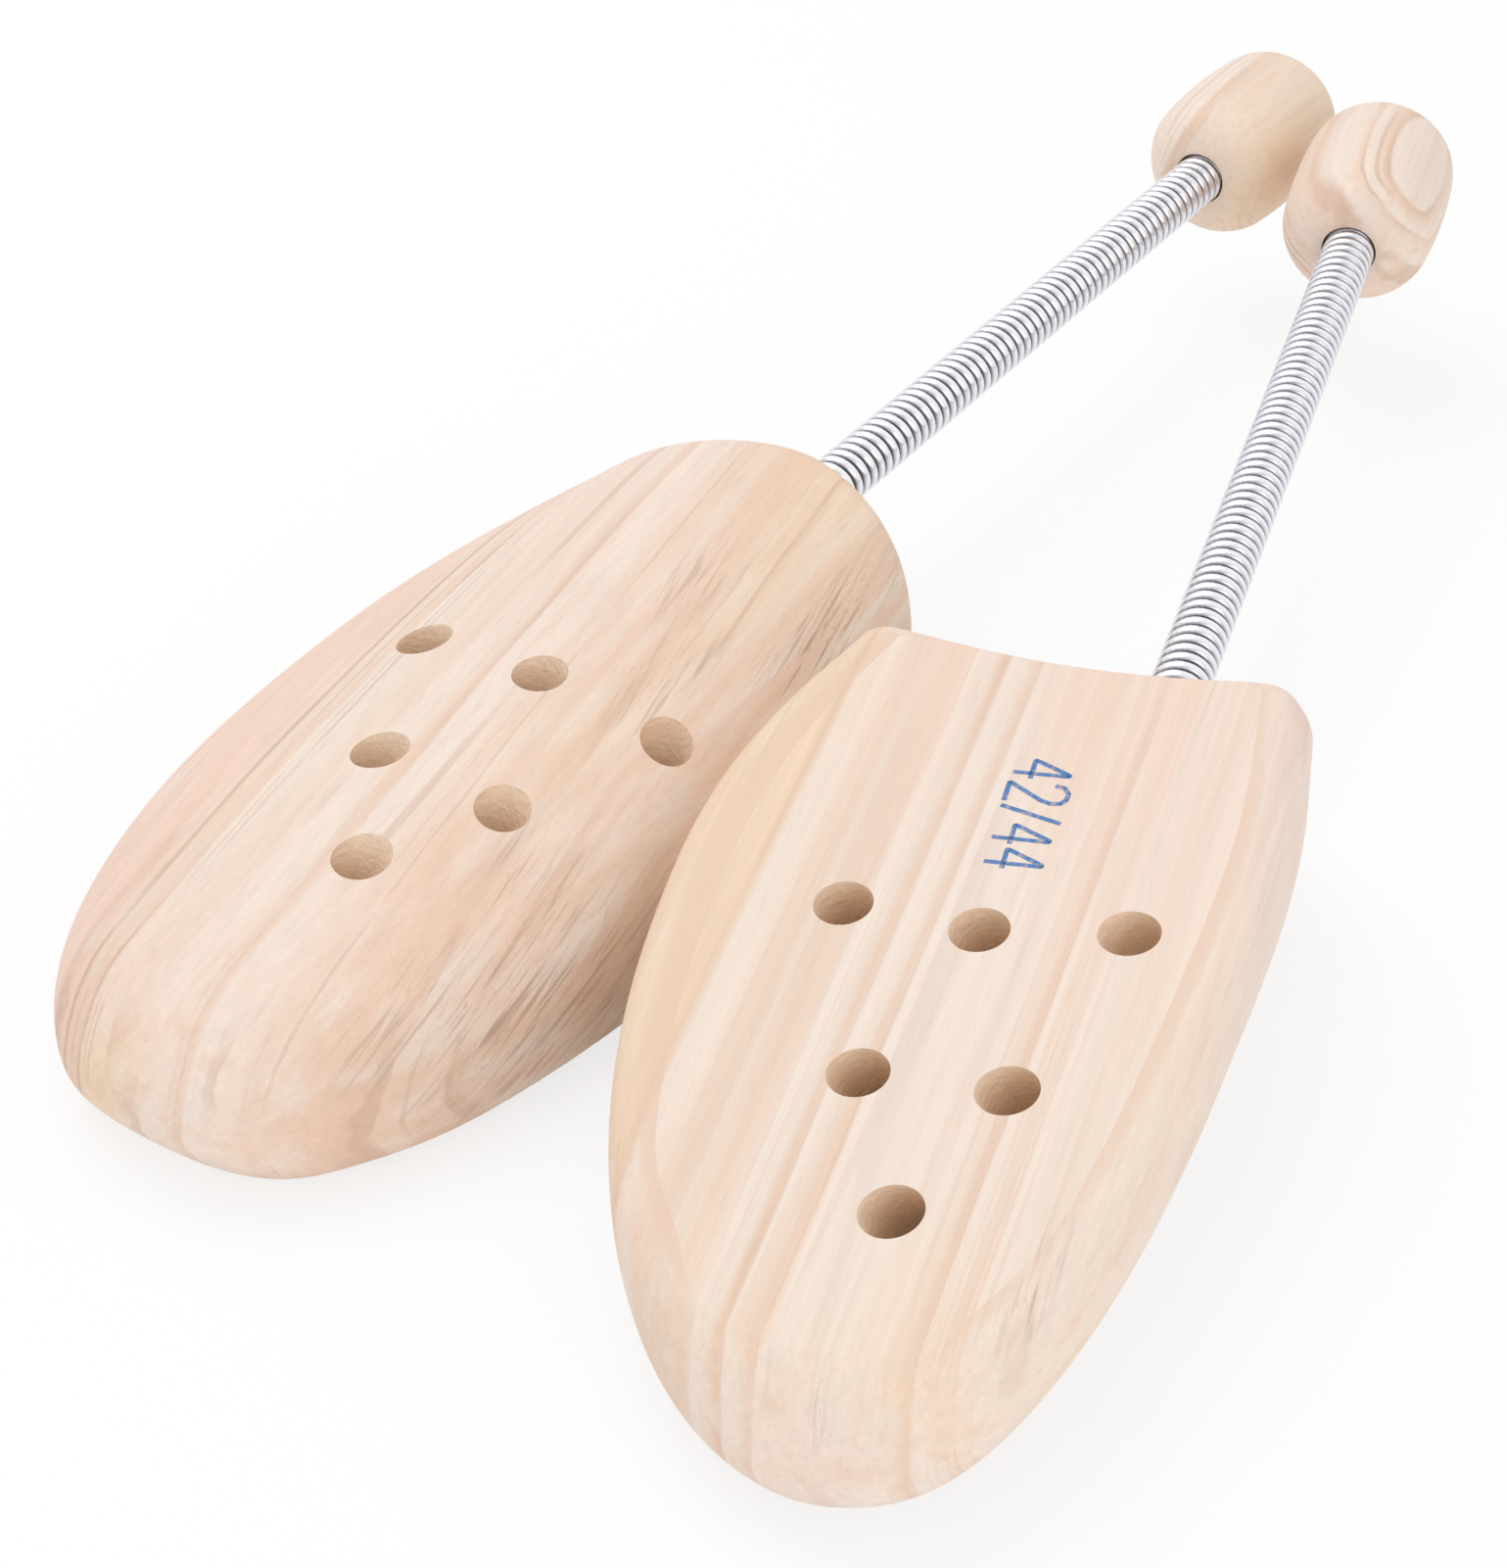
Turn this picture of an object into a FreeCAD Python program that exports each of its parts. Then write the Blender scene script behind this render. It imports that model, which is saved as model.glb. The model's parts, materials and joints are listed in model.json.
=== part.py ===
"""A pair of spring shoe trees: wooden forefoot blocks, coil springs and turned heel knobs.

The upright tree lies on its sole. The upturned tree is its mirror image and lies turned over, sole up.
Each tree is modelled in its own frame: X runs from the rear of the block to the toe, Y to the inner side
of the foot and Z up from the sole.
"""
import FreeCAD
import Part
import collections
import math
import os

Vector = FreeCAD.Vector
Side = collections.namedtuple("Side", "widest rear toe_fullness")

# Forefoot block: plan outline, measured from the long axis through the tip of the toe
BLOCK_LENGTH = 126.0
WIDEST_AT = 39.0
OUTER_SIDE = Side(widest=44.3, rear=34.3, toe_fullness=1.9)
UPRIGHT_INNER_SIDE = Side(widest=34.6, rear=24.3, toe_fullness=2.7)
UPTURNED_INNER_SIDE = Side(widest=28.3, rear=21.8, toe_fullness=2.75)
REAR_TAPER_POWER = 1.7
REAR_OVERSHOOT = 14.0
REAR_STATION_STEP = 17.03
NOSE_LENGTH = 37.8

# Forefoot block: heights above the sole
CROWN_REAR_HEIGHT = 38.0
CROWN_TOE_HEIGHT = 22.2
WIDEST_HEIGHT = 10.7
NOSE_ROUND_LENGTH = 13.7
TOE_SPRING_LENGTH = 12.0
TOE_SPRING_HEIGHT = 11.0
DOME_FULLNESS = 1.81
SOLE_EDGE_FULLNESS = 5.5
TOE_EDGE_FULLNESS = 2.0
TOE_EDGE_LENGTH = 30.0
SOLE_TRIM = 0.7
TOE_FLAT_SETBACK = 0.6

# Forefoot block: rear face
REAR_LEAN = 0.68
REAR_LEAN_REACH = 74.0
REAR_SCOOP_DEPTH = 5.6
REAR_SCOOP_WIDTH = 76.0
REAR_SCOOP_SIDE = -6.0
REAR_EDGE_RADIUS = 4.5

# Vent holes: three rows of three, two and one
VENT_DIAMETER = 7.2
VENT_ROWS = ((51.6, 3), (76.2, 2), (94.8, 1))
VENT_ROW_BOW = 2.0
VENT_ACROSS_PITCH = 17.0
VENT_AXIS_OFFSET = -2.2
VENT_AXIS_YAW = 5.7
VENT_LEAN_BACK = 12.2
VENT_LEAN_BACK_STEP = 4.8
VENT_LEAN_IN = 7.9
VENT_LEAN_IN_STEP = 4.6

# Coil spring
WIRE_DIAMETER = 2.0
WIRE_END_RUN = 0.5
COIL_MEAN_DIAMETER = 6.3
SPRING_FREE_LENGTH = 123.5
FREE_TURNS = 44
FRONT_HELD_TURNS = 3
HEEL_HELD_TURNS = 2

# Heel knob
KNOB_LENGTH = 32.0
KNOB_DIAMETER = 24.8
KNOB_END_DIAMETER = 22.4
KNOB_EDGE_RADIUS = 7.5

# Bores and pegs that hold the spring ends
BORE_CLEARANCE = 0.15
PEG_CLEARANCE = 0.2
BORE_END_SPACE = 3.0
PEG_NOSE = 0.6
SPRING_BELOW_CROWN = 12.8
SPRING_SIDE = 0.0

# Direction of the spring from the block: turned to the outer side, rising towards the heel
SPRING_YAW = -2.3
SPRING_RISE = 2.2

# How the two trees lie: heading is the bearing of the rear, from +Y towards +X
UPRIGHT_PLACE = (-1.75, 19.77)
UPRIGHT_HEADING = 36.2
UPTURNED_ALONGSIDE = -26.37
TREE_GAP = 0.7
SEAT_LEVELS = 14
SEAT_ROW = 0.8
UPTURNED_HEADING = 21.2
UPTURNED_PITCH = 8.6
UPTURNED_ROLL = 3.9

# Sizes that follow from the ones above
SPRING_PITCH = SPRING_FREE_LENGTH / FREE_TURNS
SPRING_HEIGHT = CROWN_REAR_HEIGHT - SPRING_BELOW_CROWN
WIRE_RADIUS = WIRE_DIAMETER / 2
COIL_RADIUS = COIL_MEAN_DIAMETER / 2
SPRING_TURNS = FRONT_HELD_TURNS + FREE_TURNS + HEEL_HELD_TURNS
WIRE_END_REACH = math.hypot(COIL_RADIUS, WIRE_END_RUN) + WIRE_RADIUS
BORE_RADIUS = WIRE_END_REACH + BORE_CLEARANCE
PEG_RADIUS = COIL_RADIUS - WIRE_RADIUS - PEG_CLEARANCE
FRONT_BORE_DEPTH = FRONT_HELD_TURNS * SPRING_PITCH + BORE_END_SPACE
HEEL_BORE_DEPTH = HEEL_HELD_TURNS * SPRING_PITCH + BORE_END_SPACE
REAR_FACE_AT_SPRING = REAR_SCOOP_DEPTH - REAR_LEAN * SPRING_HEIGHT
FAR = 400.0


def superellipse(share, power):
    """Height of a unit superellipse at a share of its half width."""
    return max(1.0 - min(abs(share), 1.0) ** power, 0.0) ** (1.0 / power)


def half_width(x, side):
    """Half width of the plan outline on one side at station x."""
    if x >= WIDEST_AT:
        share = (x - WIDEST_AT) / (BLOCK_LENGTH - WIDEST_AT)
        return side.widest * superellipse(share, side.toe_fullness)
    return side.widest - (side.widest - side.rear) * ((WIDEST_AT - x) / WIDEST_AT) ** REAR_TAPER_POWER


def crown_height(x):
    """Height of the ridge at station x, rounded down over the nose."""
    slope = (CROWN_TOE_HEIGHT - CROWN_REAR_HEIGHT) / BLOCK_LENGTH
    rise = CROWN_REAR_HEIGHT + slope * x - WIDEST_HEIGHT
    nose = max(x - (BLOCK_LENGTH - NOSE_ROUND_LENGTH), 0.0) / NOSE_ROUND_LENGTH
    return WIDEST_HEIGHT + rise * superellipse(nose, 2.0)


def sole_height(x):
    """Height of the carved underside at station x, before the sole is trimmed flat."""
    along = max(x - (BLOCK_LENGTH - TOE_SPRING_LENGTH), 0.0) / TOE_SPRING_LENGTH
    return TOE_SPRING_HEIGHT * along ** 2 - SOLE_TRIM


def sole_edge_fullness(x):
    """Squareness of the sole's edge at station x: full along the body, rounder towards the toe."""
    along = max(x - (BLOCK_LENGTH - TOE_EDGE_LENGTH), 0.0) / TOE_EDGE_LENGTH
    return SOLE_EDGE_FULLNESS + (TOE_EDGE_FULLNESS - SOLE_EDGE_FULLNESS) * along


def section_point(x, angle, inner_side):
    """Point of the cross-section at station x; angle 0 is the inner side, a quarter turn is the crown."""
    side = math.cos(angle)
    lift = math.sin(angle)
    width = half_width(x, inner_side if side >= 0 else OUTER_SIDE)
    power = DOME_FULLNESS if lift >= 0 else sole_edge_fullness(x)
    reach = crown_height(x) - WIDEST_HEIGHT if lift >= 0 else WIDEST_HEIGHT - sole_height(x)
    y = math.copysign(abs(side) ** (2.0 / power), side) * width
    z = WIDEST_HEIGHT + math.copysign(abs(lift) ** (2.0 / power), lift) * reach
    lean = REAR_LEAN * max(1.0 - x / REAR_LEAN_REACH, 0.0)
    return Vector(x - lean * z, y, z)


def section_wire(x, inner_side, points=24):
    """Closed smooth cross-section of the block at station x."""
    curve = Part.BSplineCurve()
    places = [section_point(x, 2 * math.pi * (i + 0.5) / points, inner_side) for i in range(points)]
    curve.interpolate(Points=places, PeriodicFlag=True)
    return Part.Wire([curve.toShape()])


def block_stations():
    """Stations of the sections: fixed at the rear, even along the body, closer and closer towards the toe."""
    rear = [i * REAR_STATION_STEP - REAR_OVERSHOOT for i in range(4)]
    nose_start = BLOCK_LENGTH - NOSE_LENGTH
    body = [rear[-1] + (nose_start - rear[-1]) * share for share in (1 / 3, 2 / 3)]
    nose = [BLOCK_LENGTH - NOSE_LENGTH * share ** 2 for share in (1.0, 0.84, 0.68, 0.54, 0.41, 0.29, 0.19)]
    return rear + body + nose + [BLOCK_LENGTH - TOE_FLAT_SETBACK]


def rear_scoop():
    """Large upright cylinder, leaning with the rear face, that hollows it across its width."""
    half = REAR_SCOOP_WIDTH / 2
    radius = (half ** 2 + REAR_SCOOP_DEPTH ** 2) / (2 * REAR_SCOOP_DEPTH)
    up = Vector(-REAR_LEAN, 0, 1)
    start = Vector(REAR_SCOOP_DEPTH - radius * up.Length, REAR_SCOOP_SIDE, 0) - up * FAR / 4
    return Part.makeCylinder(radius, FAR / 2, start, up)


def vent_drills():
    """Drills for the vent holes: bowed rows across a turned axis, fanned out towards the dome."""
    drift = math.tan(math.radians(VENT_AXIS_YAW))
    first = VENT_ROWS[0][0]
    drills = []
    for row, (x, count) in enumerate(VENT_ROWS):
        back = math.tan(math.radians(VENT_LEAN_BACK + row * VENT_LEAN_BACK_STEP))
        for place in range(count):
            step = place - (count - 1) / 2
            inwards = math.tan(math.radians(VENT_LEAN_IN + step * VENT_LEAN_IN_STEP))
            across = step * VENT_ACROSS_PITCH
            ahead = VENT_ROW_BOW * (1 - step ** 2)
            foot = Vector(x + ahead - across * drift, VENT_AXIS_OFFSET + across + (x - first) * drift, 0)
            up = Vector(-back, inwards, 1)
            start = foot - up * CROWN_REAR_HEIGHT / 2
            drills.append(Part.makeCylinder(VENT_DIAMETER / 2, 2 * CROWN_REAR_HEIGHT, start, up))
    return drills


def spring_line():
    """Entry point of the spring at the rear face and its direction towards the heel."""
    turn = math.radians(SPRING_YAW)
    rise = math.radians(SPRING_RISE)
    heel = Vector(-math.cos(turn) * math.cos(rise), math.sin(turn) * math.cos(rise), math.sin(rise))
    return Vector(REAR_FACE_AT_SPRING, SPRING_SIDE, SPRING_HEIGHT), heel


def forefoot(inner_side, entry, heel):
    """Carved block: loft, hollowed rear with a rounded edge, flat sole, vent holes and spring bore."""
    block = Part.makeLoft([section_wire(x, inner_side) for x in block_stations()], True, False)
    block = block.cut(rear_scoop())
    rear_edges = [edge for edge in block.Edges if edge.BoundBox.XMax < WIDEST_AT]
    block = block.makeFillet(REAR_EDGE_RADIUS, rear_edges)
    below = Part.makeBox(FAR, FAR, FAR, Vector(-FAR / 2, -FAR / 2, -FAR))
    drills = vent_drills()
    bore_start = entry - heel * FRONT_BORE_DEPTH
    bore = Part.makeCylinder(BORE_RADIUS, FRONT_BORE_DEPTH + FAR / 4, bore_start, heel)
    return block.cut([below, bore] + drills)


def biarc(start, start_way, end, end_way):
    """Two arcs, smooth at their joint, from start to end with the given end directions."""
    chord = end - start
    ways = start_way + end_way
    bend = 2 * (1 - start_way.dot(end_way))
    along = chord.dot(ways)
    reach = (math.sqrt(along ** 2 + bend * chord.dot(chord)) - along) / bend
    first_corner = start + start_way * reach
    last_corner = end - end_way * reach
    joint = (first_corner + last_corner) * 0.5
    return [tangent_arc(start, first_corner, joint), tangent_arc(joint, last_corner, end)]


def tangent_arc(start, corner, end):
    """Arc from start to end that touches both legs of the corner."""
    middle = (start + end) * 0.5
    half_chord = (end - start).Length / 2
    turn = 2 * math.atan2((corner - middle).Length, half_chord)
    rise = (corner - middle).normalize() * half_chord * math.tan(turn / 4)
    return Part.Arc(start, middle + rise, end).toShape()


def coil_point(turn):
    """Point on the wire's centre line after a number of turns, along +Z."""
    angle = 2 * math.pi * turn
    return Vector(COIL_RADIUS * math.cos(angle), COIL_RADIUS * math.sin(angle), SPRING_PITCH * turn)


def coil_way(turn):
    """Direction of the wire after a number of turns."""
    angle = 2 * math.pi * turn
    way = Vector(-math.sin(angle), math.cos(angle), SPRING_PITCH / (2 * math.pi * COIL_RADIUS))
    return way.normalize()


def least_gap(wire):
    """Least clear space between the wire and its own next turns, measured on points."""
    step = COIL_RADIUS / 4
    points = wire.discretize(Distance=step)
    skip = int(math.pi * COIL_RADIUS / step)
    span = int(3 * math.pi * COIL_RADIUS / step)
    gaps = [points[i].distanceToPoint(point)
            for i in range(len(points))
            for point in points[i + skip:i + span]]
    return min(gaps) - WIRE_DIAMETER


def spring():
    """One unbroken wound wire along +Z, straight for a short run at both ends."""
    edges = []
    first = coil_point(0)
    last = coil_point(SPRING_TURNS)
    run_in = first - coil_way(0) * WIRE_END_RUN
    edges.append(Part.makeLine(run_in, first))
    for half in range(2 * SPRING_TURNS):
        start = half / 2
        end = start + 0.5
        edges += biarc(coil_point(start), coil_way(start), coil_point(end), coil_way(end))
    edges.append(Part.makeLine(last, last + coil_way(SPRING_TURNS) * WIRE_END_RUN))
    path = Part.Wire(edges)
    print("spring turns", SPRING_TURNS, "least gap %.2f mm" % least_gap(path))
    ring = Part.Wire([Part.makeCircle(WIRE_RADIUS, run_in, coil_way(0))])
    return path.makePipeShell([ring], True, False)


def knob():
    """Turned barrel along +Z from its front end, with rounded ends and a blind bore."""
    side = Part.Arc(
        Vector(KNOB_END_DIAMETER / 2, 0, 0),
        Vector(KNOB_DIAMETER / 2, 0, KNOB_LENGTH / 2),
        Vector(KNOB_END_DIAMETER / 2, 0, KNOB_LENGTH),
    ).toShape()
    front = Part.makeLine(Vector(0, 0, 0), Vector(KNOB_END_DIAMETER / 2, 0, 0))
    rear = Part.makeLine(Vector(KNOB_END_DIAMETER / 2, 0, KNOB_LENGTH), Vector(0, 0, KNOB_LENGTH))
    axis = Part.makeLine(Vector(0, 0, KNOB_LENGTH), Vector(0, 0, 0))
    profile = Part.Face(Part.Wire([front, side, rear, axis]))
    barrel = profile.revolve(Vector(0, 0, 0), Vector(0, 0, 1), 360)
    rims = [edge for edge in barrel.Edges if edge.BoundBox.ZLength < 1e-3 and edge.Length > KNOB_DIAMETER]
    barrel = barrel.makeFillet(KNOB_EDGE_RADIUS, rims)
    return barrel.cut(Part.makeCylinder(BORE_RADIUS, HEEL_BORE_DEPTH))


def peg(length):
    """Turned dowel along +Z from its flat end, with a chamfered nose."""
    dowel = Part.makeCylinder(PEG_RADIUS, length)
    nose = [edge for edge in dowel.Edges if edge.BoundBox.ZMin > length - 1e-3]
    return dowel.makeChamfer(PEG_NOSE, nose)


def aim(shape, start, way):
    """Copy of a shape built along +Z, with its base at start and pointing along way."""
    placed = shape.copy()
    placed.Placement = FreeCAD.Placement(start, FreeCAD.Rotation(Vector(0, 0, 1), way))
    return placed


def tree(inner_side, mirrored):
    """All pieces of one tree in its own frame; the tree of the other foot is mirrored across it."""
    entry, heel = spring_line()
    block = forefoot(inner_side, entry, heel)
    if mirrored:
        block = block.mirror(Vector(0, 0, 0), Vector(0, 1, 0))
        entry.y = -entry.y
        heel.y = -heel.y
    knob_front = entry + heel * SPRING_FREE_LENGTH
    front_floor = entry - heel * FRONT_BORE_DEPTH
    heel_floor = knob_front + heel * HEEL_BORE_DEPTH
    return {
        "forefoot": block,
        "spring": aim(spring(), entry - heel * FRONT_HELD_TURNS * SPRING_PITCH, heel),
        "front_peg": aim(peg(FRONT_BORE_DEPTH), front_floor, heel),
        "heel_peg": aim(peg(HEEL_BORE_DEPTH), heel_floor, heel * -1),
        "knob": aim(knob(), knob_front, heel),
    }


def upright_placement():
    """Rest place of the upright tree, on its sole."""
    turn = math.radians(UPRIGHT_HEADING)
    toe = Vector(-math.sin(turn), -math.cos(turn), 0)
    up = Vector(0, 0, 1)
    return FreeCAD.Placement(Vector(*UPRIGHT_PLACE, 0), FreeCAD.Rotation(toe, up.cross(toe), up, "XYZ"))


def upturned_placement():
    """The upturned tree on its dome with the toe a little low, still well beside the upright tree."""
    turn = math.radians(UPTURNED_HEADING)
    pitch = math.radians(UPTURNED_PITCH)
    roll = math.radians(UPTURNED_ROLL)
    level_toe = Vector(-math.sin(turn), -math.cos(turn), 0)
    level_side = Vector(-math.cos(turn), math.sin(turn), 0)
    toe = level_toe * math.cos(pitch) - Vector(0, 0, 1) * math.sin(pitch)
    sole_up = Vector(0, 0, 1) * math.cos(pitch) + level_toe * math.sin(pitch)
    side = level_side * math.cos(roll) - sole_up * math.sin(roll)
    away = toe.cross(side)
    return FreeCAD.Placement(Vector(FAR / 4, UPTURNED_ALONGSIDE, 0), FreeCAD.Rotation(toe, side, away, "XYZ"))


def placed_copy(shape, placement):
    """Copy of a shape moved from its tree's frame to its rest place."""
    moved = shape.copy()
    moved.Placement = placement.multiply(moved.Placement)
    return moved


def bounds(nodes):
    """Bounding box around all the nodes."""
    return Part.Compound(list(nodes.values())).optimalBoundingBox(False, False)


def moved(nodes, placement):
    """The nodes moved together."""
    return {name: placed_copy(shape, placement) for name, shape in nodes.items()}


def resting(nodes, placement):
    """The nodes of a tree turned to lie as placed, with their lowest point on the floor."""
    turned = moved(nodes, placement)
    lift = Vector(0, 0, -bounds(turned).ZMin)
    return moved(turned, FreeCAD.Placement(lift, FreeCAD.Rotation()))


def edge_by_row(block, height, pick):
    """Outermost X of a block's outline at a height, for each row along Y; pick is min or max."""
    rows = {}
    for wire in block.slice(Vector(0, 0, 1), height):
        for point in wire.discretize(Distance=SEAT_ROW / 4):
            row = round(point.y / SEAT_ROW)
            rows[row] = pick(rows.get(row, point.x), point.x)
    return rows


def beside(nodes, other):
    """The nodes of a tree slid along the floor until its block is the tree gap from the other block."""
    spaces = []
    for level in range(1, SEAT_LEVELS):
        height = CROWN_REAR_HEIGHT * level / SEAT_LEVELS
        mine = edge_by_row(nodes["forefoot"], height, min)
        theirs = edge_by_row(other["forefoot"], height, max)
        spaces += [mine[row] - theirs[row] for row in mine if row in theirs]
    move = Vector(TREE_GAP - min(spaces), 0, 0)
    return moved(nodes, FreeCAD.Placement(move, FreeCAD.Rotation()))


def main():
    os.makedirs("parts", exist_ok=True)
    upright = resting(tree(UPRIGHT_INNER_SIDE, False), upright_placement())
    upturned = resting(tree(UPTURNED_INNER_SIDE, True), upturned_placement())
    upturned = beside(upturned, upright)
    nodes = {"upright_" + name: shape for name, shape in upright.items()}
    nodes.update({"upturned_" + name: shape for name, shape in upturned.items()})
    box = bounds(nodes)
    shift = Vector(-(box.XMin + box.XMax) / 2, -(box.YMin + box.YMax) / 2, 0)
    print("shift to the shared origin: %.2f %.2f %.2f mm" % tuple(shift))
    print("size: %.1f %.1f %.1f mm" % (box.XLength, box.YLength, box.ZLength))
    for name, shape in moved(nodes, FreeCAD.Placement(shift, FreeCAD.Rotation())).items():
        shape.exportStep("parts/%s.step" % name)


main()
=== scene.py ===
"""Looks of a pair of wooden spring shoe trees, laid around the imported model.

The file has the layout of an add-on: each operator dresses one group of pieces, and main() runs
them in order.
"""
import json
import math

import bpy
from bpy.props import (
    FloatProperty,
    FloatVectorProperty,
    IntProperty,
    PointerProperty,
    StringProperty,
)
from bpy.types import Operator, Panel, PropertyGroup
from mathutils import Euler, Matrix, Vector


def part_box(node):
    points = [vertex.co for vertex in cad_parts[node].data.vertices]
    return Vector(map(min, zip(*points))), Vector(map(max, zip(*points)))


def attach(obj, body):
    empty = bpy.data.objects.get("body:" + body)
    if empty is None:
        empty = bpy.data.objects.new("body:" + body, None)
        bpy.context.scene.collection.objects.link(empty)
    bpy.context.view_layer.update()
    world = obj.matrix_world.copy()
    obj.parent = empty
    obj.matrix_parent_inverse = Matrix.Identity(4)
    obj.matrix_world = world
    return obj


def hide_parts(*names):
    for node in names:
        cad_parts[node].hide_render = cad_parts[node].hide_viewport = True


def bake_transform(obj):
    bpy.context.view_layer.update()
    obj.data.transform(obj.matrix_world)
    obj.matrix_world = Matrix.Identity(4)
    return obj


bl_info = {
    "name": "Spring shoe trees",
    "version": (1, 0, 0),
    "blender": (4, 5, 0),
    "location": "View3D > Sidebar > Shoe trees",
    "description": "Wood, wound springs, size mark and studio for a pair of spring shoe trees",
    "category": "Object",
}

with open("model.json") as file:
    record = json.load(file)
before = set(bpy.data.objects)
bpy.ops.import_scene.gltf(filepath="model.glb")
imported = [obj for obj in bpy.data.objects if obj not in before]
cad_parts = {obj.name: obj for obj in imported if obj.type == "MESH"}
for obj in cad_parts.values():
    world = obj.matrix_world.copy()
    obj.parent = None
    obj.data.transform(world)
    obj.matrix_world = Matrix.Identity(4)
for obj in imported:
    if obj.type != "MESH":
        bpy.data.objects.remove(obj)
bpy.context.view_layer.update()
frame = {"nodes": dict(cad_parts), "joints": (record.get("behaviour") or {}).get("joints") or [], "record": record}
MM = 0.001
UP = Vector((0, 0, 1))

# The two trees, with the bearing of the heel from +Y towards +X, in degrees
TREES = {"upright": 36.2, "upturned": 21.2}


def colour_property(name, description, default):
    """Colour setting with the usual limits."""
    return FloatVectorProperty(
        name=name, description=description, subtype="COLOR",
        size=3, min=0.0, max=1.0, default=default
    )


def length_property(name, description, default):
    """Length setting in metres."""
    return FloatProperty(
        name=name, description=description, subtype="DISTANCE",
        unit="LENGTH", precision=5, default=default
    )


class ShoeTreeWoodSettings(PropertyGroup):
    """Colours and grain of the raw softwood"""

    pale: colour_property("Early wood", "Pale wood between the rings", (0.87, 0.755, 0.66))
    tan: colour_property("Late wood", "Darker wood at the end of each ring", (0.80, 0.575, 0.435))
    line: colour_property("Ring line", "Thin dark edge of a ring", (0.60, 0.385, 0.28))
    blush: colour_property("Blush", "Pink tone that wanders over the wood", (0.87, 0.64, 0.54))
    honey: colour_property("Honey", "Yellow tone that wanders over the wood", (0.87, 0.66, 0.44))
    bored: colour_property("Bored wood", "Torn wood on the walls of the vent holes", (1.0, 0.79, 0.60))
    fleck: colour_property("Fleck", "Short dark pores along the grain", (0.36, 0.21, 0.14))
    grain_relief: length_property("Grain relief", "Depth of the raised fibres", 0.0001)


class ShoeTreeSpringSettings(PropertyGroup):
    """Sizes and colour of the close-wound springs"""

    wire_diameter: length_property("Wire diameter", "Thickness of the spring wire", 0.00193)
    coil_diameter: length_property("Coil diameter", "Mean diameter of the coil", 0.0063)
    pitch: length_property("Pitch", "Distance from turn to turn", 0.0020)
    free_length: length_property("Free length", "Length between the block and the knob", 0.1235)
    front_hold: length_property("Front hold", "Length held in the block", 0.0080)
    heel_hold: length_property("Heel hold", "Length held in the knob", 0.0054)
    turn_steps: IntProperty(
        name="Steps", description="Segments in one turn", default=28, min=8, max=64
    )
    ring_steps: IntProperty(
        name="Ring steps", description="Segments round the wire", default=12, min=6, max=24
    )
    steel: colour_property("Steel", "Bright drawn wire", (0.88, 0.885, 0.93))
    # Colour deep between the turns: partly duller wire, partly painted shade where the turns hide each other
    dull_shaded_groove: colour_property("Groove", "Dull wire between the turns", (0.15, 0.15, 0.18))


class ShoeTreeMarkSettings(PropertyGroup):
    """Size mark stamped on the sole of the upturned tree"""

    digits: StringProperty(name="Digits", description="Plain size numbers", default="42/44")
    height: length_property("Height", "Height of the digits", 0.0075)
    stroke: length_property("Stroke", "Width of the inked lines", 0.0006)
    film: length_property("Film", "Thickness of the ink", 0.00006)
    ink: colour_property("Ink", "Blue stamping ink", (0.10, 0.235, 0.52))


class ShoeTreeStageSettings(PropertyGroup):
    """Floor, light and camera"""

    floor: colour_property("Floor", "Pale floor", (0.97, 0.97, 0.97))
    sky: FloatProperty(
        name="Sky", description="Strength of the even light from all round", default=0.70
    )
    key: FloatProperty(
        name="Key", description="Power of the large lamp", subtype="POWER", default=3.8
    )
    fill: FloatProperty(
        name="Fill", description="Power of the side lamp", subtype="POWER", default=2.2
    )
    lens: FloatProperty(name="Lens", description="Focal length in millimetres", default=78.58)
    distance: length_property("Distance", "From the camera to the aimed point", 0.47744)
    pitch: FloatProperty(
        name="Pitch", description="How far the camera looks down", subtype="ANGLE",
        default=math.radians(35.27)
    )
    aim: FloatVectorProperty(
        name="Aim", description="Point on the floor in the middle of the view",
        subtype="TRANSLATION", size=3, precision=5, default=(-0.01393, -0.00924, 0.0)
    )


# Node helpers

def feed(tree, socket, source):
    """Links a socket to its source, or sets it to a plain value."""
    if isinstance(source, bpy.types.NodeSocket):
        tree.links.new(source, socket)
    else:
        socket.default_value = source


def add_node(tree, kind, sources=None, **settings):
    """New node with its settings and inputs; the inputs are named or numbered."""
    made = tree.nodes.new(kind)
    for key, value in settings.items():
        setattr(made, key, value)
    for key, source in (sources or {}).items():
        feed(tree, made.inputs[key], source)
    return made


def maths(tree, operation, *sources):
    """Result of a math node."""
    made = add_node(tree, "ShaderNodeMath", dict(enumerate(sources)), operation=operation)
    return made.outputs[0]


def vectors(tree, operation, *sources):
    """Vector result of a vector math node."""
    made = add_node(tree, "ShaderNodeVectorMath", dict(enumerate(sources)), operation=operation)
    return made.outputs["Vector"]


def length_of(tree, vector):
    """Length of a vector."""
    made = add_node(tree, "ShaderNodeVectorMath", {0: vector}, operation="LENGTH")
    return made.outputs["Value"]


def from_axis(tree, place):
    """Distance of a place from the Z axis."""
    return length_of(tree, vectors(tree, "MULTIPLY", place, (1.0, 1.0, 0.0)))


def scaled(tree, vector, factor):
    """Vector or colour times a number."""
    made = add_node(
        tree, "ShaderNodeVectorMath", {0: vector, "Scale": factor}, operation="SCALE"
    )
    return made.outputs["Vector"]


def remap(tree, value, low, high, to_low=0.0, to_high=1.0):
    """Value eased from one range to another and held at the ends."""
    sources = {
        "Value": value, "From Min": low, "From Max": high, "To Min": to_low, "To Max": to_high
    }
    made = add_node(tree, "ShaderNodeMapRange", sources, interpolation_type="SMOOTHSTEP")
    return made.outputs["Result"]


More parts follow.
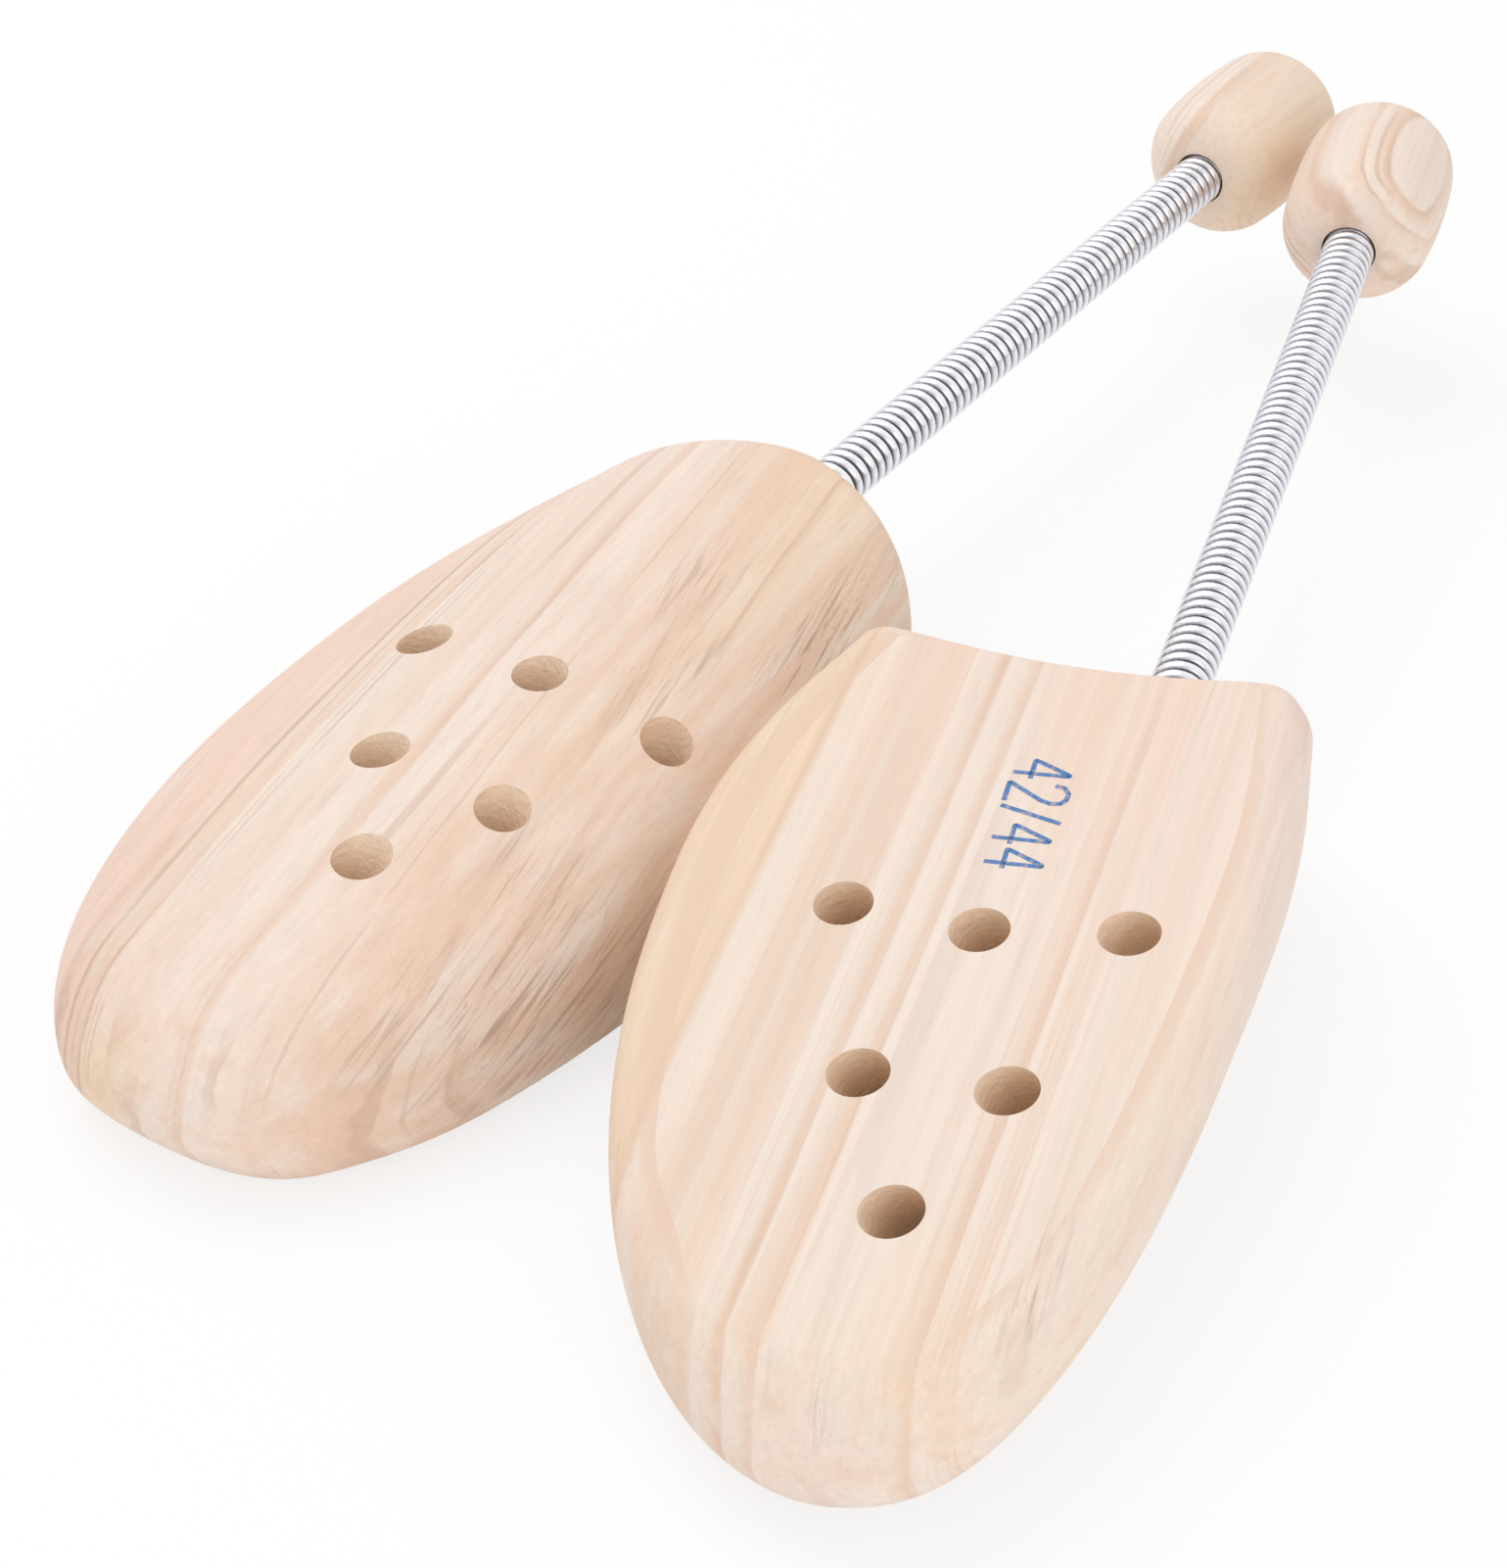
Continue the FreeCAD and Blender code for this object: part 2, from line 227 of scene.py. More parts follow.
def blended(tree, factor, first, second):
    """Colour between two colours."""
    made = add_node(tree, "ShaderNodeMix", {0: factor, 6: first, 7: second}, data_type="RGBA")
    return made.outputs[2]


def noise(tree, place, stretch, detail=2.0):
    """Noise whose cells are stretched by the given frequencies per unit."""
    spread = vectors(tree, "MULTIPLY", place, stretch)
    made = add_node(tree, "ShaderNodeTexNoise", {"Vector": spread, "Scale": 1.0, "Detail": detail})
    return made.outputs[0]


def ramp(tree, value, stops):
    """Grey curve through (place, grey) stops."""
    made = add_node(tree, "ShaderNodeValToRGB", {0: value})
    elements = made.color_ramp.elements
    while len(elements) < len(stops):
        elements.new(1.0)
    for element, (place, grey) in zip(elements, stops):
        element.position = place
        element.color = (grey, grey, grey, 1.0)
    return made.outputs["Color"]


def rgba(colour):
    """Colour setting as a socket value."""
    return (*colour, 1.0)


def new_group(name, kind, inputs, outputs):
    """Empty node group with named sockets, given as (name, socket type, default)."""
    group = bpy.data.node_groups.new(name, kind)
    for label, socket, default in inputs:
        made = group.interface.new_socket(label, in_out="INPUT", socket_type=socket)
        if default is not None:
            made.default_value = default
    for label, socket in outputs:
        group.interface.new_socket(label, in_out="OUTPUT", socket_type=socket)
    source = group.nodes.new("NodeGroupInput")
    result = group.nodes.new("NodeGroupOutput")
    return group, source.outputs, result.inputs


def new_material(name):
    """Material with only its surface shader."""
    material = bpy.data.materials.new(name)
    material.use_nodes = True
    return material, material.node_tree, material.node_tree.nodes["Principled BSDF"]


# Wood

# Noise cells per millimetre: twice across the log, then along it; the torn ones follow a face instead
GRAIN = {
    "slow": (0.02, 0.02, 0.005),
    "drift": (0.09, 0.09, 0.011),
    "ripple": (0.5, 0.5, 0.02),
    "patch": (0.06, 0.06, 0.02),
    "blush": (0.03, 0.03, 0.009),
    "honey": (0.035, 0.035, 0.01),
    "wide": (0.28, 0.28, 0.006),
    "streak": (1.1, 1.1, 0.018),
    "fibre": (4.2, 4.2, 0.09),
    "broken": (0.12, 0.12, 0.02),
    "hair": (2.6, 2.6, 0.14),
    "wall": (1.3, 1.3, 0.5),
    "zone": (0.15, 0.15, 0.04),
    "torn smudge": (0.25, 0.05, 0.022),
    "torn dash": (1.8, 0.15, 0.07),
    "torn freckle": (2.4, 0.3, 0.5),
}

# Range in which a noise, a slope or a distance in mm takes effect, and its effect at both ends
# where that isn't 0 and 1
SPANS = {
    "patch": (0.38, 0.62),
    "blush": (0.42, 0.68),
    "honey": (0.5, 0.72),
    "outer": (-2.0, 4.0),
    "outer streaks": (0.35, 0.62, 0.1, 0.7),
    "core": (4.0, -6.0, 0.0, 0.5),
    "sap": (-8.0, 6.0, 0.0, 0.7),
    "heart glow": (9.0, 3.0),
    "heart patches": (0.0, 1.0, 0.35, 0.8),
    "heart": (1.0, -2.5, 0.0, 0.85),
    "heart edge": (0.7, 0.1, 0.0, 0.7),
    "tan streaks": (0.5, 0.72, 0.0, 0.5),
    "pale streaks": (0.46, 0.28, 0.0, 0.5),
    "thread": (0.57, 0.75, 0.0, 0.5),
    "broken": (0.4, 0.62),
    "hair": (0.60, 0.76, 0.0, 0.2),
    "torn smudge": (0.42, 0.68, 0.0, 0.25),
    "torn dash": (0.49, 0.68, 0.0, 0.85),
    "torn freckle": (0.60, 0.72, 0.0, 0.5),
    "wall": (0.3, 0.7, 0.92, 1.0),
    "zone": (1.9, 1.0),
    "bored slope": (0.55, 0.42),
    "bored reach": (1.04, 0.96),
    # Painted shade round the sole, by how far the face turns from it: a tan band on the rim and a darker line
    # along the toe crease
    "rim start": (0.93, 0.98),
    "rim end": (0.9998, 0.997, 0.0, 0.7),
    "crease start": (0.9965, 0.9985),
    "crease end": (0.99995, 0.9996, 0.0, 0.35),
}

# Darkness of the late wood and of its thin edge, through one ring
LATE_CURVE = [(0.0, 0.0), (0.15, 0.0), (0.5, 0.35), (0.76, 1.0), (0.87, 0.85), (1.0, 0.0)]
EDGE_CURVE = [(0.74, 0.0), (0.89, 1.0), (0.985, 0.0)]

# Uneven rings: changes per mm and reach in mm of their spacing, reach in mm of the finer drifts
SPACING_RATE = 0.09
SPACING_REACH = 14.0
RING_DRIFTS = {"drift": 3.0, "ripple": 0.6}

THREAD_RATE = 0.75
LEAST_BAND = 0.35
EDGE_SHIFT = 37.3
EDGE_POWER = 1.3
ASIDE = (211.0, 97.0, 53.0)
SHADE_DEPTHS = {"wide": 0.10, "streak": 0.16, "fibre": 0.12}
LEAST_ROUGHNESS = 0.5
ROUGHNESS_RISE = 0.2
STREAK_RELIEF = 0.5
WALL_SHARE = 0.85
WALL_RELIEF = 5.0
ZONE_RAGGEDNESS = 1.4
BUMP_STRENGTH = 0.5
WOOD_SHEEN = 0.35

PINE_INPUTS = [
    ("Log", "NodeSocketVector", None),
    ("Tear", "NodeSocketVector", None),
    ("Ring width", "NodeSocketFloat", 7.0),
    ("Wander", "NodeSocketFloat", 8.0),
    ("Contrast", "NodeSocketFloat", 0.8),
    ("Lines", "NodeSocketFloat", 0.4),
    ("Blush", "NodeSocketFloat", 0.3),
    ("Honey", "NodeSocketFloat", 0.3),
    ("Heart", "NodeSocketFloat", -50.0),
    ("Outer", "NodeSocketFloat", 1000.0),
    ("Core", "NodeSocketFloat", -50.0),
    ("Sap", "NodeSocketFloat", 1000.0),
    ("Flecks", "NodeSocketFloat", 0.0),
    ("Bored", "NodeSocketFloat", 0.0),
]
PINE_OUTPUTS = [
    ("Color", "NodeSocketColor"),
    ("Roughness", "NodeSocketFloat"),
    ("Height", "NodeSocketFloat"),
]


def grain(tree, place, name):
    """Noise of a named grain."""
    return noise(tree, place, GRAIN[name])


def span(tree, value, name):
    """Value eased over a named range."""
    return remap(tree, value, *SPANS[name])


def tinted(tree, colour, tint, *factors):
    """Colour with a tint over it, as strong as the product of the factors."""
    strength = factors[0]
    for factor in factors[1:]:
        strength = maths(tree, "MULTIPLY", strength, factor)
    return blended(tree, strength, colour, rgba(tint))


def ring_radius(group, log, wander):
    """Distance from the pith in mm, uneven from ring to ring and along the log."""
    radius = from_axis(group, log)
    spacing = along_radius(group, radius, SPACING_RATE)
    radius = maths(group, "MULTIPLY_ADD", spacing, SPACING_REACH, radius)
    for name, reach in (("slow", wander), *RING_DRIFTS.items()):
        drift = maths(group, "SUBTRACT", grain(group, log, name), 0.5)
        radius = maths(group, "MULTIPLY_ADD", drift, reach, radius)
    return radius


def log_tones(group, wood, given, colour, radius, patchy, wide):
    """Tones of the outer wood, the core, the sapwood and the heart."""
    outer, core, sap, heart = (
        maths(group, "SUBTRACT", radius, given[name]) for name in ("Outer", "Core", "Sap", "Heart")
    )
    streaks = span(group, wide, "outer streaks")
    colour = tinted(group, colour, wood.tan, span(group, outer, "outer"), streaks)
    colour = tinted(group, colour, wood.honey, span(group, core, "core"))
    colour = tinted(group, colour, wood.pale, span(group, sap, "sap"))
    patches = span(group, patchy, "heart patches")
    colour = tinted(group, colour, wood.tan, span(group, heart, "heart glow"), patches)
    return tinted(group, colour, wood.blush, span(group, heart, "heart"))


def ring_edges(group, given, radius, ring, share, patchy):
    """Thin dark edges of some rings, and the edge of the heart."""
    edge = ramp(group, share, EDGE_CURVE)
    odd = chance(group, maths(group, "ADD", ring, EDGE_SHIFT))
    odd = maths(group, "POWER", odd, EDGE_POWER)
    for factor in (odd, given["Lines"], patchy):
        edge = maths(group, "MULTIPLY", edge, factor)
    from_heart = maths(group, "ABSOLUTE", maths(group, "SUBTRACT", radius, given["Heart"]))
    return maths(group, "MAXIMUM", edge, span(group, from_heart, "heart edge"))


def pine_group(wood):
    """Softwood as a solid, in mm: rings round the log's Z axis, torn flecks along the tear's."""
    group, given, result = new_group("Pine", "ShaderNodeTree", PINE_INPUTS, PINE_OUTPUTS)
    log, tear, lines, flecks, bored = (
        given[name] for name in ("Log", "Tear", "Lines", "Flecks", "Bored")
    )
    aside = vectors(group, "ADD", log, ASIDE)
    fine = {name: grain(group, log, name) for name in SHADE_DEPTHS}
    patchy = span(group, grain(group, log, "patch"), "patch")
    radius = ring_radius(group, log, given["Wander"])
    phase = maths(group, "DIVIDE", radius, given["Ring width"])
    ring = maths(group, "FLOOR", phase)
    share = maths(group, "FRACT", phase)

    strength = maths(group, "MULTIPLY_ADD", chance(group, ring), 1.0 - LEAST_BAND, LEAST_BAND)
    band = maths(group, "MULTIPLY", ramp(group, share, LATE_CURVE), strength)
    colour = tinted(group, rgba(wood.pale), wood.tan, band, given["Contrast"])
    cloud = span(group, grain(group, log, "blush"), "blush")
    colour = tinted(group, colour, wood.blush, cloud, given["Blush"])
    cloud = span(group, grain(group, aside, "honey"), "honey")
    colour = tinted(group, colour, wood.honey, cloud, given["Honey"])
    colour = log_tones(group, wood, given, colour, radius, patchy, fine["wide"])
    edges = ring_edges(group, given, radius, ring, share, patchy)
    colour = tinted(group, colour, wood.line, edges)

    colour = tinted(group, colour, wood.tan, span(group, fine["wide"], "tan streaks"))
    colour = tinted(group, colour, wood.pale, span(group, fine["wide"], "pale streaks"))
    thread = span(group, along_radius(group, radius, THREAD_RATE), "thread")
    broken = span(group, grain(group, aside, "broken"), "broken")
    colour = tinted(group, colour, wood.line, thread, lines, broken)
    colour = tinted(group, colour, wood.line, span(group, grain(group, log, "hair"), "hair"))
    shade = 1.0
    for name, depth in SHADE_DEPTHS.items():
        change = maths(group, "SUBTRACT", fine[name], 0.5)
        shade = maths(group, "MULTIPLY_ADD", change, depth, shade)
    colour = scaled(group, colour, shade)

    smudge, dash, freckle = (
        span(group, grain(group, tear, name), name)
        for name in ("torn smudge", "torn dash", "torn freckle")
    )
    colour = tinted(group, colour, wood.line, smudge, flecks)
    pores = maths(group, "MULTIPLY", maths(group, "MAXIMUM", dash, freckle), flecks)
    colour = tinted(group, colour, wood.fleck, pores)
    wall = grain(group, log, "wall")
    ragged = scaled(group, wood.bored, span(group, wall, "wall"))
    colour = blended(group, maths(group, "MULTIPLY", bored, WALL_SHARE), colour, ragged)

    raised = maths(group, "MULTIPLY_ADD", fine["streak"], STREAK_RELIEF, fine["fibre"])
    raised = maths(group, "SUBTRACT", raised, pores)
    ragged = maths(group, "MULTIPLY", wall, maths(group, "MULTIPLY", bored, WALL_RELIEF))
    roughness = maths(group, "MULTIPLY_ADD", fine["fibre"], ROUGHNESS_RISE, LEAST_ROUGHNESS)
    feed(group, result["Color"], colour)
    feed(group, result["Roughness"], roughness)
    feed(group, result["Height"], maths(group, "ADD", raised, ragged))
    return group


def along_radius(group, radius, rate):
    """Noise that changes from ring to ring only."""
    sources = {"W": maths(group, "MULTIPLY", radius, rate), "Scale": 1.0, "Detail": 0.0}
    return add_node(group, "ShaderNodeTexNoise", sources, noise_dimensions="1D").outputs[0]


def chance(group, ring):
    """Random share that belongs to a ring."""
    made = add_node(group, "ShaderNodeTexWhiteNoise", {"W": ring}, noise_dimensions="1D")
    return made.outputs["Value"]


def log_turn(across, outward, along):
    """Rotation whose X, Y and Z axes are the given directions of the log."""
    columns = Matrix((across, outward, along)).transposed()
    return columns.to_euler()


def turned(tree, place, origin, turn, scale):
    """Coordinates seen from a turned and scaled frame."""
    sources = {"Vector": place, "Location": origin, "Rotation": turn, "Scale": scale}
    made = add_node(tree, "ShaderNodeMapping", sources, vector_type="TEXTURE")
    return made.outputs["Vector"]


def bored_mask(tree, place, level, holes):
    """One on the walls of the drilled holes: the steep faces inside an oval (centre, turn, radii)."""
    centre, turn, radii = holes
    wall = span(tree, maths(tree, "ABSOLUTE", level), "bored slope")
    reach = from_axis(tree, turned(tree, place, centre, turn, radii))
    return maths(tree, "MULTIPLY", wall, span(tree, reach, "bored reach"))


def fleck_strength(tree, log, into_log, pith, least, zones):
    """Strength of the flecks, which grows inside ragged zones (centre, radii in mm, strength)."""
    flecks = least
    for centre, radii, strength in zones:
        apart = vectors(tree, "SUBTRACT", log, into_log @ (centre - pith) / MM)
        reach = length_of(tree, vectors(tree, "DIVIDE", apart, radii))
        ragged = maths(tree, "MULTIPLY_ADD", grain(tree, log, "zone"), ZONE_RAGGEDNESS, reach)
        inside = remap(tree, ragged, *SPANS["zone"], 0.0, strength)
        flecks = maths(tree, "MAXIMUM", flecks, inside)
    return flecks


def wood_material(
    name, group, wood, pith, turn, values, zones=(), tear=None, sole=None, holes=None
):
    """Wood cut from a log whose pith runs through a point, with its zones of flecks, sole and holes, and painted
    shade where the faces start to turn away from the sole.
    """
    material, tree, shader = new_material(name)
    place = add_node(tree, "ShaderNodeTexCoord").outputs["Object"]
    log = turned(tree, place, pith, turn, (MM, MM, MM))
    pine = add_node(tree, "ShaderNodeGroup", node_tree=group)
    for key, value in values.items():
        pine.inputs[key].default_value = value
    feed(tree, pine.inputs["Log"], log)
    feed(tree, pine.inputs["Tear"], turned(tree, place, pith, tear or turn, (MM, MM, MM)))
    into_log = turn.to_matrix().transposed()
    flecks = fleck_strength(tree, log, into_log, pith, values["Flecks"], zones)
    feed(tree, pine.inputs["Flecks"], flecks)
    colour = pine.outputs["Color"]
    if sole:
        facing = add_node(tree, "ShaderNodeTexCoord").outputs["Normal"]
        dot = add_node(tree, "ShaderNodeVectorMath", {0: facing, 1: sole}, operation="DOT_PRODUCT")
        level = dot.outputs["Value"]
        feed(tree, pine.inputs["Bored"], bored_mask(tree, place, level, holes))
        # Painted shade round the sole: a tan band where the face starts to turn away from the sole, and a dark
        # line along the crease of the toe bevel
        for mark, tint in (("rim", wood.tan), ("crease", wood.line)):
            start, end = (span(tree, level, mark + part) for part in (" start", " end"))
            colour = tinted(tree, colour, tint, start, end)
    relief = {"Distance": wood.grain_relief, "Height": pine.outputs["Height"]}
    bump = add_node(tree, "ShaderNodeBump", {"Strength": BUMP_STRENGTH, **relief})
    feed(tree, shader.inputs["Base Color"], colour)
    feed(tree, shader.inputs["Roughness"], pine.outputs["Roughness"])
    feed(tree, shader.inputs["Normal"], bump.outputs["Normal"])
    shader.inputs["Specular IOR Level"].default_value = WOOD_SHEEN
    return material


def paint(node, material):
    """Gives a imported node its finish."""
    slots = frame["nodes"][node].data.materials
    slots.clear()
    slots.append(material)


def middle(node):
    """Middle of a node's box."""
    low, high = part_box(node)
    return (low + high) / 2


def spring_way(tree):
    """Direction of the spring from the block to the knob, along the line of its two pegs."""
    return (middle(tree + "_heel_peg") - middle(tree + "_front_peg")).normalized()


def mount(name):
    """Place and outward direction of a mount."""
    found = next(entry for entry in frame["record"]["mounts"] if entry["name"] == name)
    return Vector(found["pos_m"]), Vector(found["axis"]).normalized()


def block_axes(tree):
    """Sole mount, toe direction, side direction (to the right of the view) and sole normal."""
    place, normal = mount(tree + "_sole")
    turn = math.radians(TREES[tree])
    toe = Vector((-math.sin(turn), -math.cos(turn), 0))
    toe = (toe - normal * toe.dot(normal)).normalized()
    side = UP.cross(toe).normalized()
    side = (side - normal * side.dot(normal)).normalized()
    return place, toe, side, normal


# Zones of dark flecks in mm: to the side, towards the toe and up from the sole mount; radii; strength
FLECK_ZONES = {
    "upright": [
        ((34, 38, 14), (11, 14, 28), 0.65),
        ((25, -36, 27), (4, 8, 22), 0.85),
        ((18, -8, 30), (6, 8, 12), 0.45),
        ((10, -26, 31), (6, 8, 12), 0.4),
        ((27, 52, 18), (7, 9, 16), 0.45),
        ((24, 30, 25), (5, 8, 10), 0.5),
    ],
    "upturned": [
        ((25, 58, 0), (3, 4, 14), 0.45),
        ((8, 76, -5), (2.5, 6, 6), 0.3),
        ((-30, -32, 0), (6, 4, 8), 0.3),
    ],
}

# Oval that holds all the vent holes of a block: how far ahead and aside its middle lies, its radii
VENT_AHEAD = 0.022
VENT_ASIDE = 0.0015
VENT_SPREAD = 0.031
VENT_REACH = 0.041

# Place on the upturned knob where the rings close into an oval eye, and how far the pith lies from
# the middle of each knob
KNOB_EYE = Vector((0.0920, 0.1004, 0.0406))
KNOB_FROM_PITH = {"upright": 0.074, "upturned": 0.055}
PEG_FROM_PITH = 20


def block_material(tree, group, wood):
    """Wood of one forefoot block."""
    place, toe, side, normal = block_axes(tree)
    if tree == "upright":
        up = -normal
        along = (toe + side * 0.16).normalized()
        from_pith = (95, -6)
        torn_face = (side + up).normalized()
        torn_way = toe + side * 0.2 - up * 0.2
        values = {
            "Ring width": 7.5, "Wander": 5.0, "Contrast": 0.8, "Lines": 0.75, "Blush": 0.5,
            "Honey": 0.6, "Heart": 83.3, "Outer": 112.0, "Flecks": 0.05,
        }
    else:
        up = normal
        along = (toe + side * 0.03).normalized()
        from_pith = (150, 15)
        torn_face = up
        torn_way = along
        values = {
            "Ring width": 9.5, "Wander": 5.0, "Contrast": 1.0, "Lines": 0.35, "Blush": 0.65,
            "Honey": 0.3, "Core": 133.0, "Sap": 183.0, "Flecks": 0.03,
        }
    across = (side - along * side.dot(along)).normalized()
    pith = place - (across * from_pith[0] + up * from_pith[1]) * MM
    turn = log_turn(across, along.cross(across), along)
    torn_way = (torn_way - torn_face * torn_way.dot(torn_face)).normalized()
    tear = log_turn(torn_face.cross(torn_way), torn_face, torn_way)
    zones = [
        (place + (side * aside + toe * ahead + up * above) * MM, radii, strength)
        for (aside, ahead, above), radii, strength in FLECK_ZONES[tree]
    ]
    oval = log_turn(side, toe, side.cross(toe))
    holes = (place + toe * VENT_AHEAD + side * VENT_ASIDE, oval, (VENT_SPREAD, VENT_REACH, 1.0))
    return wood_material(
        tree + "_block_wood", group, wood, pith, turn, values, zones, tear, normal, holes
    )


def knob_material(tree, group, wood):
    """Wood of one heel knob, turned with the grain along the spring."""
    way = spring_way(tree)
    side = way.cross(UP).normalized()
    top = side.cross(way)
    centre = middle(tree + "_knob")
    if tree == "upright":
        outward = (top * 0.35 - side).normalized()
        values = {
            "Ring width": 15.0, "Wander": 2.0, "Contrast": 1.0, "Lines": 0.5, "Blush": 0.4,
            "Core": 82.0, "Flecks": 0.02,
        }
    else:
        outward = KNOB_EYE - centre
        outward = (outward - way * outward.dot(way)).normalized()
        values = {
            "Ring width": 4.6, "Wander": 2.0, "Contrast": 0.9, "Lines": 0.9, "Blush": 0.3,
            "Flecks": 0.02,
        }
    pith = centre - outward * KNOB_FROM_PITH[tree]
    turn = log_turn(outward, way.cross(outward), way)
    return wood_material(tree + "_knob_wood", group, wood, pith, turn, values)


def peg_material(tree, group, wood):
    """Wood of the two pegs of a tree."""
    way = spring_way(tree)
    side = way.cross(UP).normalized()
    pith = middle(tree + "_front_peg") - side * PEG_FROM_PITH * MM
    turn = log_turn(side, way.cross(side), way)
    values = {
        "Ring width": 3.0, "Wander": 2.0, "Contrast": 0.9, "Lines": 0.2, "Blush": 0.2,
        "Flecks": 0.0,
    }
    return wood_material(tree + "_peg_wood", group, wood, pith, turn, values)


# Pieces grown by geometry nodes

def grown(name, group, values, source=None):
    """Piece made by a node group and turned into a plain mesh at the origin."""
    piece = bpy.data.objects.new(name, source or bpy.data.meshes.new(name))
    bpy.context.scene.collection.objects.link(piece)
    modifier = piece.modifiers.new(name, "NODES")
    modifier.node_group = group
    for item in group.interface.items_tree:
        if item.in_out == "INPUT" and item.name in values:
            modifier[item.identifier] = values[item.name]
    bpy.context.view_layer.update()
    evaluated = piece.evaluated_get(bpy.context.evaluated_depsgraph_get())
    mesh = bpy.data.meshes.new_from_object(evaluated)
    mesh.name = name
    bpy.data.objects.remove(piece)
    made = bpy.data.objects.new(name, mesh)
    bpy.context.scene.collection.objects.link(made)
    return made


def coil_group(material):
    """Wound wire along +Z, which remembers how deep each point lies between the turns."""
    group, given, result = new_group(
        "Wound wire",
        "GeometryNodeTree",
        [
            ("Wire radius", "NodeSocketFloat", 0.001),
            ("Coil radius", "NodeSocketFloat", 0.003),
            ("Turns", "NodeSocketFloat", 60.0),
            ("Length", "NodeSocketFloat", 0.12),
            ("Turn steps", "NodeSocketInt", 28),
            ("Ring steps", "NodeSocketInt", 12),
        ],
        [("Geometry", "NodeSocketGeometry")],
    )
    spiral = add_node(
        group,
        "GeometryNodeCurveSpiral",
        {
            "Resolution": given["Turn steps"],
            "Rotations": given["Turns"],
            "Start Radius": given["Coil radius"],
            "End Radius": given["Coil radius"],
            "Height": given["Length"],
            "Reverse": True,
        },
    )
    ring = add_node(
        group,
        "GeometryNodeCurvePrimitiveCircle",
        {"Resolution": given["Ring steps"], "Radius": given["Wire radius"]},
    )
    wire = add_node(
        group,
        "GeometryNodeCurveToMesh",
        {"Curve": spiral.outputs[0], "Profile Curve": ring.outputs[0], "Fill Caps": True},
    )
    place = add_node(group, "GeometryNodeInputPosition").outputs[0]
    depth = maths(group, "SUBTRACT", from_axis(group, place), given["Coil radius"])
    depth = maths(group, "DIVIDE", depth, given["Wire radius"])
    kept = add_node(
        group,
        "GeometryNodeStoreNamedAttribute",
        {"Geometry": wire.outputs[0], "Name": "outer", "Value": depth},
        data_type="FLOAT",
        domain="POINT",
    )
    smooth = add_node(group, "GeometryNodeSetShadeSmooth", {"Geometry": kept.outputs[0]})
    real = add_node(group, "GeometryNodeRealizeInstances", {"Geometry": smooth.outputs[0]})
    sources = {"Geometry": real.outputs[0], "Material": material}
    dressed = add_node(group, "GeometryNodeSetMaterial", sources)
    feed(group, result["Geometry"], dressed.outputs[0])
    return group


# Bright share of the wire by its depth (below it, painted shade and duller wire between the turns), grain of its
# smears per metre, and its polish
OPEN_WIRE = (0.38, 1.0)
SMEAR_GRAIN = (900.0, 900.0, 900.0)
SMEAR_DETAIL = 3.0
STEEL_ROUGHNESS = 0.14
SMEAR_ROUGHNESS = 0.16


def steel_material(spring):
    """Bright drawn wire, darker where it lies deep between the turns: partly duller wire, partly painted shade."""
    material, tree, shader = new_material("spring_steel")
    outer = add_node(tree, "ShaderNodeAttribute", attribute_name="outer").outputs["Fac"]
    unshaded_share = remap(tree, outer, *OPEN_WIRE)
    place = add_node(tree, "ShaderNodeTexCoord").outputs["Object"]
    smear = noise(tree, place, SMEAR_GRAIN, SMEAR_DETAIL)
    roughness = maths(tree, "MULTIPLY_ADD", smear, SMEAR_ROUGHNESS, STEEL_ROUGHNESS)
    # Painted shade and duller wire deep between the turns, bright steel on the open crest
    colour = blended(tree, unshaded_share, rgba(spring.dull_shaded_groove), rgba(spring.steel))
    feed(tree, shader.inputs["Base Color"], colour)
    feed(tree, shader.inputs["Roughness"], roughness)
    shader.inputs["Metallic"].default_value = 1.0
    return material


def wind_spring(tree, group, spring):
    """Close-wound spring of one tree, laid straight between its block and its knob."""
    joint = next(entry for entry in frame["joints"] if entry["name"] == tree + "_spring_bend")
    way = spring_way(tree)
    entry = Vector(joint["pos_m"]) - way * spring.free_length / 2
    length = spring.front_hold + spring.free_length + spring.heel_hold
    values = {
        "Wire radius": spring.wire_diameter / 2,
        "Coil radius": spring.coil_diameter / 2,
        "Turns": length / spring.pitch,
        "Length": length,
        "Turn steps": spring.turn_steps,
        "Ring steps": spring.ring_steps,
    }
    piece = grown(tree + "_wound_spring", group, values)
    start = entry - way * spring.front_hold
    axes = way.to_track_quat("Z", "Y").to_matrix().to_4x4()
    piece.data.transform(Matrix.Translation(start) @ axes)
    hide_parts(tree + "_spring")
    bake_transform(piece)


# Size mark: strokes of the digits in a box one unit high, and the way to the next digit
STROKES = {
    "2": [[(0.0, 0.76), (0.04, 0.92), (0.16, 1.0), (0.30, 1.0), (0.41, 0.92), (0.43, 0.76),
           (0.38, 0.60), (0.0, 0.0), (0.45, 0.0)]],
    "4": [[(0.33, 0.0), (0.33, 1.0), (0.0, 0.31), (0.45, 0.31)]],
    "/": [[(0.0, -0.02), (0.30, 1.02)]],
}
DIGIT_ADVANCE = {"2": 0.57, "4": 0.57, "/": 0.42}

# Middle of the mark from the sole mount, its turn in degrees and its lift as a share of the film
MARK_ALONG = -0.01075
MARK_ASIDE = 0.00354
MARK_TURN = 4.7
MARK_LIFT = 0.3

# Rounding of the corners as a share of the stroke; grain of the worn patches per metre and their range
CORNER_SHARE = 0.25
CORNER_STEPS = 4
PATCH_GRAIN = (1400.0, 1400.0, 1400.0)
PATCH_DETAIL = 3.0
PATCH_SPAN = (0.46, 0.72, 0.0, 0.6)
INK_ROUGHNESS = 0.7
INK_SHEEN = 0.2


